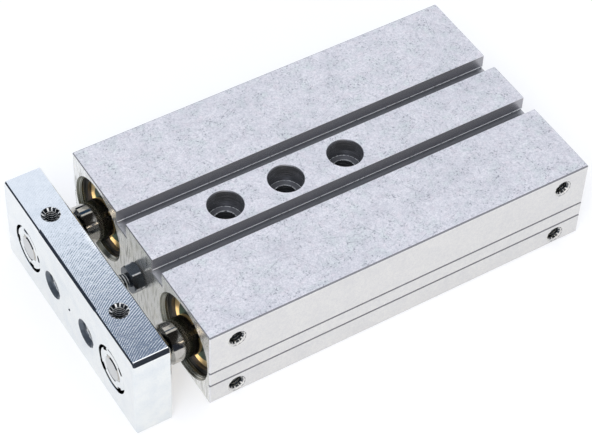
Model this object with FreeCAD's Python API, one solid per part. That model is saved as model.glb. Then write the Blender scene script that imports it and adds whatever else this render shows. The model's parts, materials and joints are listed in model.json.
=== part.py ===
import FreeCAD, Part
import math
import os

# Twin piston cylinder: a flat extruded housing with two bores, two pistons and rods, and one yoke plate.
# Millimetres. +X is the way the rods extend, +Y the left long side, +Z up.
# The origin is on the base, on the axis of the middle mounting hole. The rods are drawn in at rest.

V = FreeCAD.Vector
ALONG = V(1, 0, 0)
LEFTWARDS = V(0, 1, 0)
UP = V(0, 0, 1)

# Driving sizes: bores, rods and stroke
stroke = 50.0
bore_diameter = 25.0
rod_diameter = 12.0
rib_width = 25.0

# Housing walls and long edges
base_wall = 1.5
top_wall = 2.2
side_wall = 2.1
long_edge_radius = 0.6
end_edge_break = 0.25
side_line_heights = (7.7, 13.1)
side_line_width = 0.7
side_line_depth = 0.45

# Slots for position sensors in the top face
slot_offset = 10.3
slot_opening = 5.5
slot_lip = 4.6
slot_foot_width = 6.1
slot_depth = 5.3

# Mounting holes through the rib, counterbored for M6 cap screws
front_to_middle_hole = 48.0
mount_pitch = 20.0
mount_hole_diameter = 6.6
mount_head_diameter = 10.4
mount_head_depth = 6.5
hole_edge_break = 0.3

# M5 holes in the left long side: air ports above, fastening threads below
m5_core_diameter = 4.2
m5_mouth_diameter = 5.7
side_hole_inset = 8.6
port_below_top = 5.2
port_thread_depth = 4.2
port_passage_diameter = 2.5
side_thread_height = 3.5
side_thread_depth = 4.6

# Drilling that joins the two bores at each end, closed on the right long side by a plug
passage_inset = 11.5
passage_diameter = 4.0
plug_length = 1.7

# Bore ends: lead-in chamfer, circlip groove, and how deep the caps sit
bore_mouth_growth = 0.85
bore_mouth_length = 1.2
end_recess = 3.75
circlip_groove_width = 1.3
circlip_groove_depth = 0.6
circlip_thickness = 1.2
circlip_width = 1.9
circlip_lug_radius = 2.0
circlip_lug_hole_radius = 1.0
circlip_lug_angle = 18.0
front_circlip_turn = 53.0
rear_circlip_turn = 90.0

# Bearing cap at the front of each bore
bearing_cap_length = 33.4
cap_front_land = 0.9
o_ring_groove_width = 1.9
o_ring_groove_depth = 1.3
cap_second_land = 0.55
cap_gallery_depth = 1.5
cap_inner_land = 8.0
cap_air_slots = 4
cap_air_slot_width = 4.0
cap_air_slot_depth = 1.0
rod_seal_width = 3.0
rod_seal_length = 5.0
bushing_wall = 1.5
bushing_length = 24.0

# End cap at the rear of each bore
rear_cap_length = 11.0
rear_cap_dish_diameter = 14.0
rear_cap_dish_depth = 1.0
rear_cap_spigot_step = 1.4

# Elastic cushion rings, half sunk in the caps
cushion_thickness = 3.0
cushion_proud = 1.5
cushion_outer_step = 1.3
cushion_inner_step = 1.6

# Piston with its grooves, counted from its front face
piston_length = 20.0
piston_clearance = 0.25
piston_land = 1.2
piston_seal_groove_width = 3.0
piston_seal_groove_depth = 2.7
piston_seal_relief = 0.4
guide_ring_groove_width = 4.0
guide_ring_groove_depth = 1.2
magnet_groove_width = 4.0
magnet_groove_depth = 3.0
magnet_inset = 0.15
piston_spigot_diameter = 8.0
piston_nut_flats = 13.0
piston_nut_thickness = 4.0
piston_nut_recess_radius = 8.2
piston_nut_recess_depth = 4.5
rod_tail_inset = 0.3

# Piston travel ends
rear_gap = 1.2
front_gap = 0.3

# Yoke plate and the rod ends held in it
yoke_gap = 11.0
yoke_thickness = 11.4
yoke_end_margin = 13.5
yoke_floor_clearance = 0.3
yoke_rise = 1.6
yoke_edge_chamfer = 0.4
yoke_end_chamfer = 1.0
yoke_relief_chamfer = 0.7
yoke_relief_half_length = 16.5
rod_shoulder_chamfer = 1.0
rod_neck_step = 1.2
rod_neck_length = 4.2
rod_end_diameter = 8.0
rod_end_sink = 0.05
rod_end_chamfer = 0.5
washer_diameter = 13.4
washer_thickness = 4.0
washer_sink = 0.2
washer_edge_chamfer = 0.3
washer_mouth_chamfer = 0.4
washer_gap = 0.7
washer_notches = 4
washer_notch_width = 2.4
washer_notch_depth = 1.1
washer_turns = {"left": 39.0, "right": 11.0}
yoke_front_thread_spacing = 20.0
yoke_front_thread_drop = 0.8
m8_core_diameter = 6.8
m8_mouth_diameter = 9.0
yoke_front_thread_depth = 9.0
yoke_top_thread_spacing = 40.0
yoke_top_thread_depth = 9.5
yoke_centre_mark_diameter = 1.6
yoke_centre_mark_depth = 0.8

# Stop screw for the drawn-in position, M5 with a hexagon head, and its lock nut
stop_axis_rise = 0.6
stop_thread_diameter = 5.0
stop_head_flats = 8.0
stop_head_thickness = 3.5
stop_head_gap = 0.3
stop_travel = 4.0
stop_hole_floor = 2.0
stop_tip_clearance = 0.6
stop_tip_chamfer = 0.6
lock_nut_thickness = 2.7
hexagon_edge_break = 0.5

# Fits
seat_fit = 0.03
running_fit = 0.04

# Sizes that follow from the driving sizes
bore_radius = bore_diameter / 2
rod_radius = rod_diameter / 2
bore_spacing = bore_diameter + rib_width
axis_height = base_wall + bore_radius
housing_height = base_wall + bore_diameter + top_wall
housing_width = bore_spacing + bore_diameter + 2 * side_wall
piston_room = stroke + piston_length + 2 * cushion_proud + rear_gap + front_gap
housing_length = 2 * end_recess + bearing_cap_length + rear_cap_length + piston_room
left_side = housing_width / 2
right_side = -left_side
front_face = front_to_middle_hole
rear_face = front_face - housing_length
bearing_cap_front = front_face - end_recess
bearing_cap_back = bearing_cap_front - bearing_cap_length
rear_cap_back = rear_face + end_recess
rear_cap_front = rear_cap_back + rear_cap_length
piston_back = rear_cap_front + cushion_proud + rear_gap
piston_front = piston_back + piston_length
yoke_back = front_face + yoke_gap
yoke_front = yoke_back + yoke_thickness
yoke_middle = (yoke_back + yoke_front) / 2
yoke_half_width = bore_spacing / 2 + yoke_end_margin
yoke_top = housing_height + yoke_rise
yoke_front_thread_height = axis_height - yoke_front_thread_drop
washer_front = yoke_front - washer_sink
washer_back = washer_front - washer_thickness
stop_axis_height = axis_height + stop_axis_rise
cap_radius = bore_radius - seat_fit
sliding_radius = bore_radius - running_fit
cushion_outer_radius = bore_radius - cushion_outer_step
cushion_inner_radius = rod_radius + cushion_inner_step
circlip_groove_radius = bore_radius + circlip_groove_depth
sides = (("left", bore_spacing / 2), ("right", -bore_spacing / 2))


def save(name, shape):
    """Write one piece to its own file."""
    shape.exportStep(f"parts/{name}.step")


def turned(points, y, z=axis_height):
    """Turn a closed outline of (x, radius) points about an axis along X."""
    outline = [V(x, y, z + radius) for x, radius in points]
    face = Part.Face(Part.makePolygon(outline + outline[:1]))
    return face.revolve(V(0, y, z), ALONG, 360)


def rod_along_x(x_from, x_to, radius, y, z=axis_height):
    """A plain cylinder along X."""
    return Part.makeCylinder(radius, x_to - x_from, V(x_from, y, z), ALONG)


def tube_along_x(x_from, x_to, inner_radius, outer_radius, y):
    """A plain tube along X on a bore axis."""
    return rod_along_x(x_from, x_to, outer_radius, y).cut(rod_along_x(x_from, x_to, inner_radius, y))


def hexagon(x_from, x_to, flats, y, z):
    """A hexagonal prism along X, corner up, with its corners turned down at both ends."""
    corner = flats / math.sqrt(3)
    angles = [math.radians(30 + 60 * step) for step in range(6)]
    outline = [V(x_from, y + corner * math.cos(a), z + corner * math.sin(a)) for a in angles]
    prism = Part.Face(Part.makePolygon(outline + outline[:1])).extrude(V(x_to - x_from, 0, 0))
    edge = hexagon_edge_break
    points = [(x_from, 0), (x_from, corner - edge), (x_from + edge, corner)]
    points += [(x_to - edge, corner), (x_to, corner - edge), (x_to, 0)]
    return prism.common(turned(points, y, z))


def drilled(mouth, inwards, core_diameter, mouth_diameter, depth):
    """A tapped hole's core with its countersunk mouth, to be cut away."""
    sink = (mouth_diameter - core_diameter) / 2
    core = Part.makeCylinder(core_diameter / 2, depth, mouth, inwards)
    return core.fuse(Part.makeCone(mouth_diameter / 2, core_diameter / 2, sink, mouth, inwards))


def edges_where(shape, test):
    """The straight edges whose two ends both pass the test."""
    return [e for e in shape.Edges if len(e.Vertexes) == 2 and all(test(v.Point) for v in e.Vertexes)]


def near(a, b):
    """Whether two lengths are the same, within rounding."""
    return abs(a - b) < 1e-6


# Housing
def housing_outline():
    """The extrusion's section, counter-clockwise from the base, as (y, z) points."""
    half = housing_width / 2
    line = side_line_width / 2
    points = [(-half, 0), (half, 0)]
    for height in side_line_heights:
        points += [(half, height - line), (half - side_line_depth, height), (half, height + line)]
    points.append((half, housing_height))
    for middle in (slot_offset, -slot_offset):
        lip = slot_opening / 2
        foot = slot_foot_width / 2
        under_lip = housing_height - slot_lip
        floor = housing_height - slot_depth
        points += [(middle + lip, housing_height), (middle + lip, under_lip), (middle + foot, under_lip)]
        points += [(middle + foot, floor), (middle - foot, floor), (middle - foot, under_lip)]
        points += [(middle - lip, under_lip), (middle - lip, housing_height)]
    points.append((-half, housing_height))
    for height in reversed(side_line_heights):
        points += [(-half, height + line), (-half + side_line_depth, height), (-half, height - line)]
    return points


def bore_cut(y):
    """One through bore with its lead-in chamfers and circlip grooves."""
    mouth = bore_radius + bore_mouth_growth
    outer_wall = end_recess - circlip_groove_width
    half = [(0, mouth), (bore_mouth_length, bore_radius), (outer_wall, bore_radius)]
    half += [(outer_wall, circlip_groove_radius), (end_recess, circlip_groove_radius)]
    half.append((end_recess, bore_radius))
    from_rear = [(rear_face + depth, radius) for depth, radius in half]
    from_front = [(front_face - depth, radius) for depth, radius in reversed(half)]
    return turned([(rear_face, 0)] + from_rear + from_front + [(front_face, 0)], y)


def mounting_hole_cut(x):
    """A counterbored hole down through the rib."""
    hole = Part.makeCylinder(mount_hole_diameter / 2, housing_height, V(x, 0, 0), UP)
    radius = mount_head_diameter / 2
    seat = V(x, 0, housing_height - mount_head_depth)
    head = Part.makeCylinder(radius, mount_head_depth, seat, UP)
    rim = V(x, 0, housing_height - hole_edge_break)
    mouth = Part.makeCone(radius, radius + hole_edge_break, hole_edge_break, rim, UP)
    return hole.fuse([head, mouth])


def port_cut(x):
    """An M5 air port high in the left side, with a fine drilling on into the bore."""
    mouth = V(x, left_side, housing_height - port_below_top)
    thread = drilled(mouth, -LEFTWARDS, m5_core_diameter, m5_mouth_diameter, port_thread_depth)
    passage = Part.makeCylinder(port_passage_diameter / 2, left_side - bore_spacing / 2, mouth, -LEFTWARDS)
    return thread.fuse(passage)


def side_thread_cut(x):
    """A blind M5 thread low in the left side."""
    mouth = V(x, left_side, side_thread_height)
    return drilled(mouth, -LEFTWARDS, m5_core_diameter, m5_mouth_diameter, side_thread_depth)


def passage_cut(x):
    """The drilling from the right side that joins both bores."""
    length = bore_spacing / 2 - right_side
    return Part.makeCylinder(passage_diameter / 2, length, V(x, right_side, axis_height), LEFTWARDS)


def housing():
    """The extrusion with its bores, mounting holes, ports, side threads and joining drillings."""
    def at_corner(point):
        return near(abs(point.y), left_side) and (near(point.z, 0) or near(point.z, housing_height))

    section = [V(rear_face, y, z) for y, z in housing_outline()]
    body = Part.Face(Part.makePolygon(section + section[:1])).extrude(V(housing_length, 0, 0))
    long_corners = [e for e in edges_where(body, at_corner) if near(e.Length, housing_length)]
    body = body.makeFillet(long_edge_radius, long_corners)
    end_faces = [f for f in body.Faces if near(f.BoundBox.XLength, 0)]
    body = body.makeChamfer(end_edge_break, [e for f in end_faces for e in f.OuterWire.Edges])
    cuts = [bore_cut(y) for name, y in sides]
    cuts += [mounting_hole_cut(step * mount_pitch) for step in (-1, 0, 1)]
    for x in (rear_face + side_hole_inset, front_face - side_hole_inset):
        cuts += [port_cut(x), side_thread_cut(x)]
    cuts += [passage_cut(x) for x in (rear_face + passage_inset, front_face - passage_inset)]
    return body.cut(cuts)


def passage_plugs():
    """The pressed plugs that close the two joining drillings."""
    radius = passage_diameter / 2 - seat_fit
    plugs = []
    for x in (rear_face + passage_inset, front_face - passage_inset):
        plugs.append(Part.makeCylinder(radius, plug_length, V(x, right_side, axis_height), LEFTWARDS))
    return Part.makeCompound(plugs)


# Pieces that stay in the housing
def circlip(x_from, y, turn):
    """A spring ring for a bore, open between two lugs, its gap turned from +Y towards +Z."""
    outer = circlip_groove_radius - seat_fit
    inner = outer - circlip_width
    x_to = x_from + circlip_thickness
    ring = tube_along_x(x_from, x_to, inner, outer, y)
    reach = 2 * outer
    half_gap = math.radians(circlip_lug_angle)
    corners = [V(x_from, y, axis_height)]
    for side in (-1, 1):
        angle = math.radians(turn) + side * half_gap
        corners.append(V(x_from, y + reach * math.cos(angle), axis_height + reach * math.sin(angle)))
    ring = ring.cut(Part.Face(Part.makePolygon(corners + corners[:1])).extrude(V(circlip_thickness, 0, 0)))
    lug_reach = outer - circlip_lug_radius - seat_fit
    for side in (-1, 1):
        angle = math.radians(turn) + side * half_gap
        lug_y = y + lug_reach * math.cos(angle)
        lug_z = axis_height + lug_reach * math.sin(angle)
        ring = ring.fuse(rod_along_x(x_from, x_to, circlip_lug_radius, lug_y, lug_z))
        ring = ring.cut(rod_along_x(x_from, x_to, circlip_lug_hole_radius, lug_y, lug_z))
    return ring.removeSplitter()


def o_ring(groove_from, y):
    """A ring of round cord, pressed flat enough to fill its groove's depth."""
    cord = (o_ring_groove_depth - 2 * seat_fit) / 2
    centre = V(groove_from + o_ring_groove_width / 2, y, axis_height)
    return Part.makeTorus(bore_radius - seat_fit - cord, cord, centre, ALONG)


def bearing_cap(y):
    """The front cap: seal pocket, bushing seat, air gallery and a slotted inner land."""
    front = bearing_cap_front
    back = bearing_cap_back
    groove = front - cap_front_land
    groove_end = groove - o_ring_groove_width
    gallery = groove_end - cap_second_land
    gallery_end = back + cap_inner_land
    groove_radius = bore_radius - o_ring_groove_depth
    gallery_radius = cap_radius - cap_gallery_depth
    pocket_radius = rod_radius + rod_seal_width
    pocket_end = front - rod_seal_length
    seat_radius = rod_radius + bushing_wall
    seat_end = pocket_end - bushing_length
    rod_hole = rod_radius + piston_clearance
    cushion_floor = back + cushion_thickness - cushion_proud
    outside = [(front, cap_radius), (groove, cap_radius), (groove, groove_radius)]
    outside += [(groove_end, groove_radius), (groove_end, cap_radius), (gallery, cap_radius)]
    outside += [(gallery, gallery_radius), (gallery_end, gallery_radius)]
    outside += [(gallery_end, cap_radius), (back, cap_radius)]
    cushion_seat = [(back, cushion_outer_radius), (cushion_floor, cushion_outer_radius)]
    cushion_seat += [(cushion_floor, cushion_inner_radius), (back, cushion_inner_radius)]
    inside = [(back, rod_hole), (seat_end, rod_hole), (seat_end, seat_radius), (pocket_end, seat_radius)]
    inside += [(pocket_end, pocket_radius), (front, pocket_radius)]
    cap = turned(outside + cushion_seat + inside, y)
    slot_corner = V(back, y - cap_air_slot_width / 2, axis_height + cap_radius - cap_air_slot_depth)
    for step in range(cap_air_slots):
        slot = Part.makeBox(cap_inner_land, cap_air_slot_width, 2 * cap_air_slot_depth, slot_corner)
        slot.rotate(V(back, y, axis_height), ALONG, 360 / cap_air_slots * (step + 0.5))
        cap = cap.cut(slot)
    return cap


def rod_seal(y):
    """A wiper and seal in one ring: an outer sleeve with a lip towards the rod at each end."""
    front = bearing_cap_front - seat_fit
    back = bearing_cap_front - rod_seal_length + seat_fit
    outer = rod_radius + rod_seal_width - seat_fit
    lip = rod_radius + running_fit
    waist = rod_radius + rod_seal_width / 2
    third = (front - back) / 3
    return turned([(front, outer), (back, outer), (back, lip), (back + third / 2, lip), (back + third, waist),
                   (front - third, waist), (front - third / 2, lip), (front, lip)], y)


def rod_bushing(y):
    """The plain bearing that guides the rod."""
    front = bearing_cap_front - rod_seal_length - seat_fit
    back = bearing_cap_front - rod_seal_length - bushing_length + seat_fit
    return tube_along_x(back, front, rod_radius + running_fit, rod_radius + bushing_wall - seat_fit, y)


def rear_cap(y):
    """The rear end cap: a sealed flange, then a spigot that leaves room for air."""
    back = rear_cap_back
    front = rear_cap_front
    groove = back + cap_front_land
    groove_end = groove + o_ring_groove_width
    spigot = groove_end + cap_second_land
    groove_radius = bore_radius - o_ring_groove_depth
    spigot_radius = cap_radius - rear_cap_spigot_step / 2
    dish_radius = rear_cap_dish_diameter / 2
    dish_floor = back + rear_cap_dish_depth
    cushion_floor = front - cushion_thickness + cushion_proud
    outside = [(dish_floor, 0), (dish_floor, dish_radius), (back, dish_radius), (back, cap_radius)]
    outside += [(groove, cap_radius), (groove, groove_radius), (groove_end, groove_radius)]
    outside += [(groove_end, cap_radius), (spigot, cap_radius), (spigot, spigot_radius)]
    outside += [(front, spigot_radius), (front, cushion_outer_radius)]
    inside = [(cushion_floor, cushion_outer_radius), (cushion_floor, cushion_inner_radius)]
    inside += [(front, cushion_inner_radius), (front, 0)]
    return turned(outside + inside, y)


def cushion(x_from, x_to, y):
    """An elastic end-of-stroke ring."""
    return tube_along_x(x_from, x_to, cushion_inner_radius + seat_fit, cushion_outer_radius - seat_fit, y)


# Pieces that slide
def piston_grooves():
    """Each groove's name, front edge and width, counted back from the piston's front face."""
    widths = [("front_seal", piston_seal_groove_width), ("guide", guide_ring_groove_width),
              ("magnet", magnet_groove_width), ("rear_seal", piston_seal_groove_width)]
    grooves = {}
    edge = piston_front
    for name, width in widths:
        edge -= piston_land
        grooves[name] = (edge, edge - width)
        edge -= width
    return grooves


def piston(y):
    """The piston body, with a recess for its nut at the back."""
    outer = bore_radius - piston_clearance
    depths = {"front_seal": piston_seal_groove_depth, "guide": guide_ring_groove_depth,
              "magnet": magnet_groove_depth, "rear_seal": piston_seal_groove_depth}
    hole = piston_spigot_diameter / 2 + seat_fit
    nut_floor = piston_back + piston_nut_recess_depth
    points = [(piston_front, hole), (piston_front, outer)]
    for name, (edge, end) in piston_grooves().items():
        floor = outer - depths[name]
        points += [(edge, outer), (edge, floor), (end, floor), (end, outer)]
    points += [(piston_back, outer), (piston_back, piston_nut_recess_radius)]
    points += [(nut_floor, piston_nut_recess_radius), (nut_floor, hole)]
    return turned(points, y)


def piston_seals(y):
    """Two lip seals, each with its lip towards its own pressure side."""
    inner = bore_radius - piston_clearance - piston_seal_groove_depth + seat_fit
    rings = []
    for name, forwards in (("front_seal", True), ("rear_seal", False)):
        edge, end = piston_grooves()[name]
        lip = edge - seat_fit
        heel = end + seat_fit
        if not forwards:
            lip, heel = heel, lip
        middle = (lip + heel) / 2
        rings.append(turned([(lip, inner), (lip, sliding_radius), (middle, sliding_radius),
                             (heel, sliding_radius - piston_seal_relief), (heel, inner)], y))
    return Part.makeCompound(rings)


def ring_in_groove(name, groove_depth, outer_radius, y):
    """A plain ring that fills one of the piston's grooves."""
    edge, end = piston_grooves()[name]
    inner_radius = bore_radius - piston_clearance - groove_depth + seat_fit
    return tube_along_x(end + seat_fit, edge - seat_fit, inner_radius, outer_radius, y)


def piston_nut(y):
    """The nut that holds the piston on its rod."""
    x_to = piston_back + piston_nut_recess_depth
    x_from = x_to - piston_nut_thickness
    nut = hexagon(x_from, x_to, piston_nut_flats, y, axis_height)
    return nut.cut(rod_along_x(x_from, x_to, piston_spigot_diameter / 2 + seat_fit, y))


def piston_rod(y):
    """A rod with a spigot for the piston at its back, and a neck and a screwed end for the yoke."""
    tail = piston_back + rod_tail_inset
    spigot = piston_spigot_diameter / 2
    shoulder = yoke_back - rod_neck_length
    neck_radius = rod_radius - rod_neck_step
    end_radius = rod_end_diameter / 2
    tip = yoke_front - rod_end_sink
    points = [(tail, 0), (tail, spigot), (piston_front, spigot), (piston_front, rod_radius)]
    points += [(shoulder - rod_shoulder_chamfer, rod_radius), (shoulder, rod_radius - rod_shoulder_chamfer)]
    points += [(shoulder, neck_radius), (yoke_back, neck_radius), (yoke_back, end_radius)]
    points += [(tip - rod_end_chamfer, end_radius), (tip, end_radius - rod_end_chamfer), (tip, 0)]
    return turned(points, y)


def rod_end_washer(y, turn):
    """The round washer nut on the rod end, sunk in the yoke's front, with notches for a pin spanner."""
    radius = washer_diameter / 2
    hole = rod_end_diameter / 2 + seat_fit
    edge = washer_edge_chamfer
    mouth = washer_mouth_chamfer
    points = [(washer_back, hole), (washer_back, radius), (washer_front - edge, radius)]
    points += [(washer_front, radius - edge), (washer_front, hole + mouth), (washer_front - mouth, hole)]
    nut = turned(points, y)
    notch_corner = V(washer_back, y + radius - washer_notch_depth, axis_height - washer_notch_width / 2)
    for step in range(washer_notches):
        notch = Part.makeBox(washer_thickness, 2 * washer_notch_depth, washer_notch_width, notch_corner)
        notch.rotate(V(washer_back, y, axis_height), ALONG, turn + 360 / washer_notches * step)
        nut = nut.cut(notch)
    return nut


def yoke_plate():
    """The plate that joins both rods, tapped on its front and top for the load."""
    plate = Part.makeBox(yoke_thickness, 2 * yoke_half_width, yoke_top - yoke_floor_clearance,
                         V(yoke_back, -yoke_half_width, yoke_floor_clearance))
    ends = edges_where(plate, lambda p: near(p.z, yoke_top))
    plate = plate.makeChamfer(yoke_end_chamfer, [e for e in ends if near(e.Length, yoke_thickness)])
    rims = edges_where(plate, lambda p: near(p.x, yoke_front) or near(p.x, yoke_back))
    plate = plate.makeChamfer(yoke_edge_chamfer, [e for e in rims if near(e.Vertexes[0].X, e.Vertexes[1].X)])
    relief = yoke_relief_chamfer
    places = [(yoke_front - relief, yoke_top), (yoke_front, yoke_top), (yoke_front, yoke_top - relief)]
    corner = [V(x, -yoke_relief_half_length, z) for x, z in places]
    wedge = Part.Face(Part.makePolygon(corner + corner[:1])).extrude(V(0, 2 * yoke_relief_half_length, 0))
    cuts = [wedge]
    for name, y in sides:
        cuts.append(rod_along_x(yoke_back, yoke_front, rod_end_diameter / 2 + seat_fit, y))
        cuts.append(rod_along_x(washer_back, yoke_front, washer_diameter / 2 + washer_gap, y))
    for side in (-1, 1):
        mouth = V(yoke_front, side * yoke_front_thread_spacing / 2, yoke_front_thread_height)
        cuts.append(drilled(mouth, -ALONG, m8_core_diameter, m8_mouth_diameter, yoke_front_thread_depth))
        mouth = V(yoke_middle, side * yoke_top_thread_spacing / 2, yoke_top)
        cuts.append(drilled(mouth, -UP, m5_core_diameter, m5_mouth_diameter, yoke_top_thread_depth))
    mark_place = V(yoke_front, 0, yoke_front_thread_height)
    mark = Part.makeCone(yoke_centre_mark_diameter / 2, 0, yoke_centre_mark_depth, mark_place, -ALONG)
    stop_hole = rod_along_x(yoke_back, yoke_front - stop_hole_floor, stop_thread_diameter / 2 + running_fit,
                            0, stop_axis_height)
    return plate.cut(cuts + [mark, stop_hole])


# Stop for the drawn-in position
def stop_screw():
    """A hexagon-head screw in the yoke, its head towards the housing."""
    head_from = front_face + stop_head_gap
    head_to = head_from + stop_head_thickness
    tip = yoke_front - stop_hole_floor - stop_tip_clearance - stop_travel
    radius = stop_thread_diameter / 2
    shank = turned([(head_to, 0), (head_to, radius), (tip - stop_tip_chamfer, radius),
                    (tip, radius - stop_tip_chamfer), (tip, 0)], 0, stop_axis_height)
    return hexagon(head_from, head_to, stop_head_flats, 0, stop_axis_height).fuse(shank).removeSplitter()


def stop_lock_nut():
    """The thin nut that locks the stop screw against the yoke."""
    x_from = yoke_back - lock_nut_thickness
    nut = hexagon(x_from, yoke_back, stop_head_flats, 0, stop_axis_height)
    hole_radius = stop_thread_diameter / 2 + running_fit
    return nut.cut(rod_along_x(x_from, yoke_back, hole_radius, 0, stop_axis_height))


os.makedirs("parts", exist_ok=True)
save("housing", housing())
save("passage_plugs", passage_plugs())
save("yoke_plate", yoke_plate())
save("stop_screw", stop_screw())
save("stop_lock_nut", stop_lock_nut())
front_circlip_x = bearing_cap_front + seat_fit
rear_circlip_x = rear_cap_back - seat_fit - circlip_thickness
front_groove = bearing_cap_front - cap_front_land - o_ring_groove_width
rear_groove = rear_cap_back + cap_front_land
front_cushion_x = bearing_cap_back - cushion_proud
rear_cushion_x = rear_cap_front + cushion_proud - cushion_thickness
magnet_radius = bore_radius - piston_clearance - magnet_inset
for side_name, axis_y in sides:
    save(f"bearing_cap_{side_name}", bearing_cap(axis_y))
    save(f"rod_seal_{side_name}", rod_seal(axis_y))
    save(f"rod_bushing_{side_name}", rod_bushing(axis_y))
    save(f"front_o_ring_{side_name}", o_ring(front_groove, axis_y))
    save(f"front_circlip_{side_name}", circlip(front_circlip_x, axis_y, front_circlip_turn))
    save(f"front_cushion_{side_name}", cushion(front_cushion_x, front_cushion_x + cushion_thickness, axis_y))
    save(f"rear_cap_{side_name}", rear_cap(axis_y))
    save(f"rear_o_ring_{side_name}", o_ring(rear_groove, axis_y))
    save(f"rear_circlip_{side_name}", circlip(rear_circlip_x, axis_y, rear_circlip_turn))
    save(f"rear_cushion_{side_name}", cushion(rear_cushion_x, rear_cushion_x + cushion_thickness, axis_y))
    save(f"piston_{side_name}", piston(axis_y))
    save(f"piston_seals_{side_name}", piston_seals(axis_y))
    guide_ring = ring_in_groove("guide", guide_ring_groove_depth, sliding_radius, axis_y)
    save(f"piston_guide_ring_{side_name}", guide_ring)
    save(f"piston_magnet_{side_name}", ring_in_groove("magnet", magnet_groove_depth, magnet_radius, axis_y))
    save(f"piston_nut_{side_name}", piston_nut(axis_y))
    save(f"piston_rod_{side_name}", piston_rod(axis_y))
    save(f"rod_end_washer_{side_name}", rod_end_washer(axis_y, washer_turns[side_name]))
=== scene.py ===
import json
import math
from collections import namedtuple

import bpy
from mathutils import Matrix, Vector


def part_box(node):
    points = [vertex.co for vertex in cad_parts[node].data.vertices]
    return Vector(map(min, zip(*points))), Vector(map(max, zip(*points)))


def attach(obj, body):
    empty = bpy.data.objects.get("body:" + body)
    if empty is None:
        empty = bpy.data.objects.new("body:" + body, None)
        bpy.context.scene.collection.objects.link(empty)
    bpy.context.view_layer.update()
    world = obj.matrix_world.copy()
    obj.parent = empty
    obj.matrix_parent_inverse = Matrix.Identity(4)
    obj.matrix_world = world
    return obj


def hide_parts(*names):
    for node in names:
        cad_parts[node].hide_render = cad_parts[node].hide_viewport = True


bl_info = {
    "name": "Twin piston cylinder",
    "version": (1, 0, 0),
    "blender": (4, 5, 0),
    "location": "View3D > Sidebar > Cylinder",
    "description": "Dresses the packed twin piston cylinder with its finishes, threads and studio",
    "category": "Object",
}

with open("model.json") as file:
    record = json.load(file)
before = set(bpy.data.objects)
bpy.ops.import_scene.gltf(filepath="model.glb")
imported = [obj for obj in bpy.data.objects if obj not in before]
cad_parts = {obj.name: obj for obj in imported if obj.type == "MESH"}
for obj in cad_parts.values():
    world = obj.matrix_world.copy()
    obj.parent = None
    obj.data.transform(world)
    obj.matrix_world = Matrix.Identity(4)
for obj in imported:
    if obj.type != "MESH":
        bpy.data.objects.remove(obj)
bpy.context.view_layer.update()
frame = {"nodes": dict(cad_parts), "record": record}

MM = 0.001
SIDES = ("left", "right")


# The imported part
def mount(name):
    """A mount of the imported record."""
    return next(m for m in frame["record"]["mounts"] if m["name"] == name)


def both(name):
    """The left and right node of a pair."""
    return [f"{name}_{side}" for side in SIDES]


def middle(node):
    """The middle of a node's box."""
    low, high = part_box(node)
    return (low + high) / 2


def half_length(node):
    """Half of a node's length along X."""
    low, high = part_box(node)
    return (high.x - low.x) / 2


# Colours and sizes that a user may change
def linear(hex_colour):
    """Turn an sRGB hex colour into linear red, green and blue."""
    channels = [int(hex_colour[i:i + 2], 16) / 255 for i in (0, 2, 4)]
    return tuple(c / 12.92 if c <= 0.04045 else ((c + 0.055) / 1.055) ** 2.4 for c in channels)


def tint(name, description, hex_colour):
    """A colour setting, given as sRGB hex."""
    return bpy.props.FloatVectorProperty(name=name, description=description, subtype="COLOR", size=3,
                                         min=0.0, max=1.0, default=linear(hex_colour))


def number(name, description, default, unit="NONE"):
    """A number setting."""
    return bpy.props.FloatProperty(name=name, description=description, default=default, unit=unit)


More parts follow.
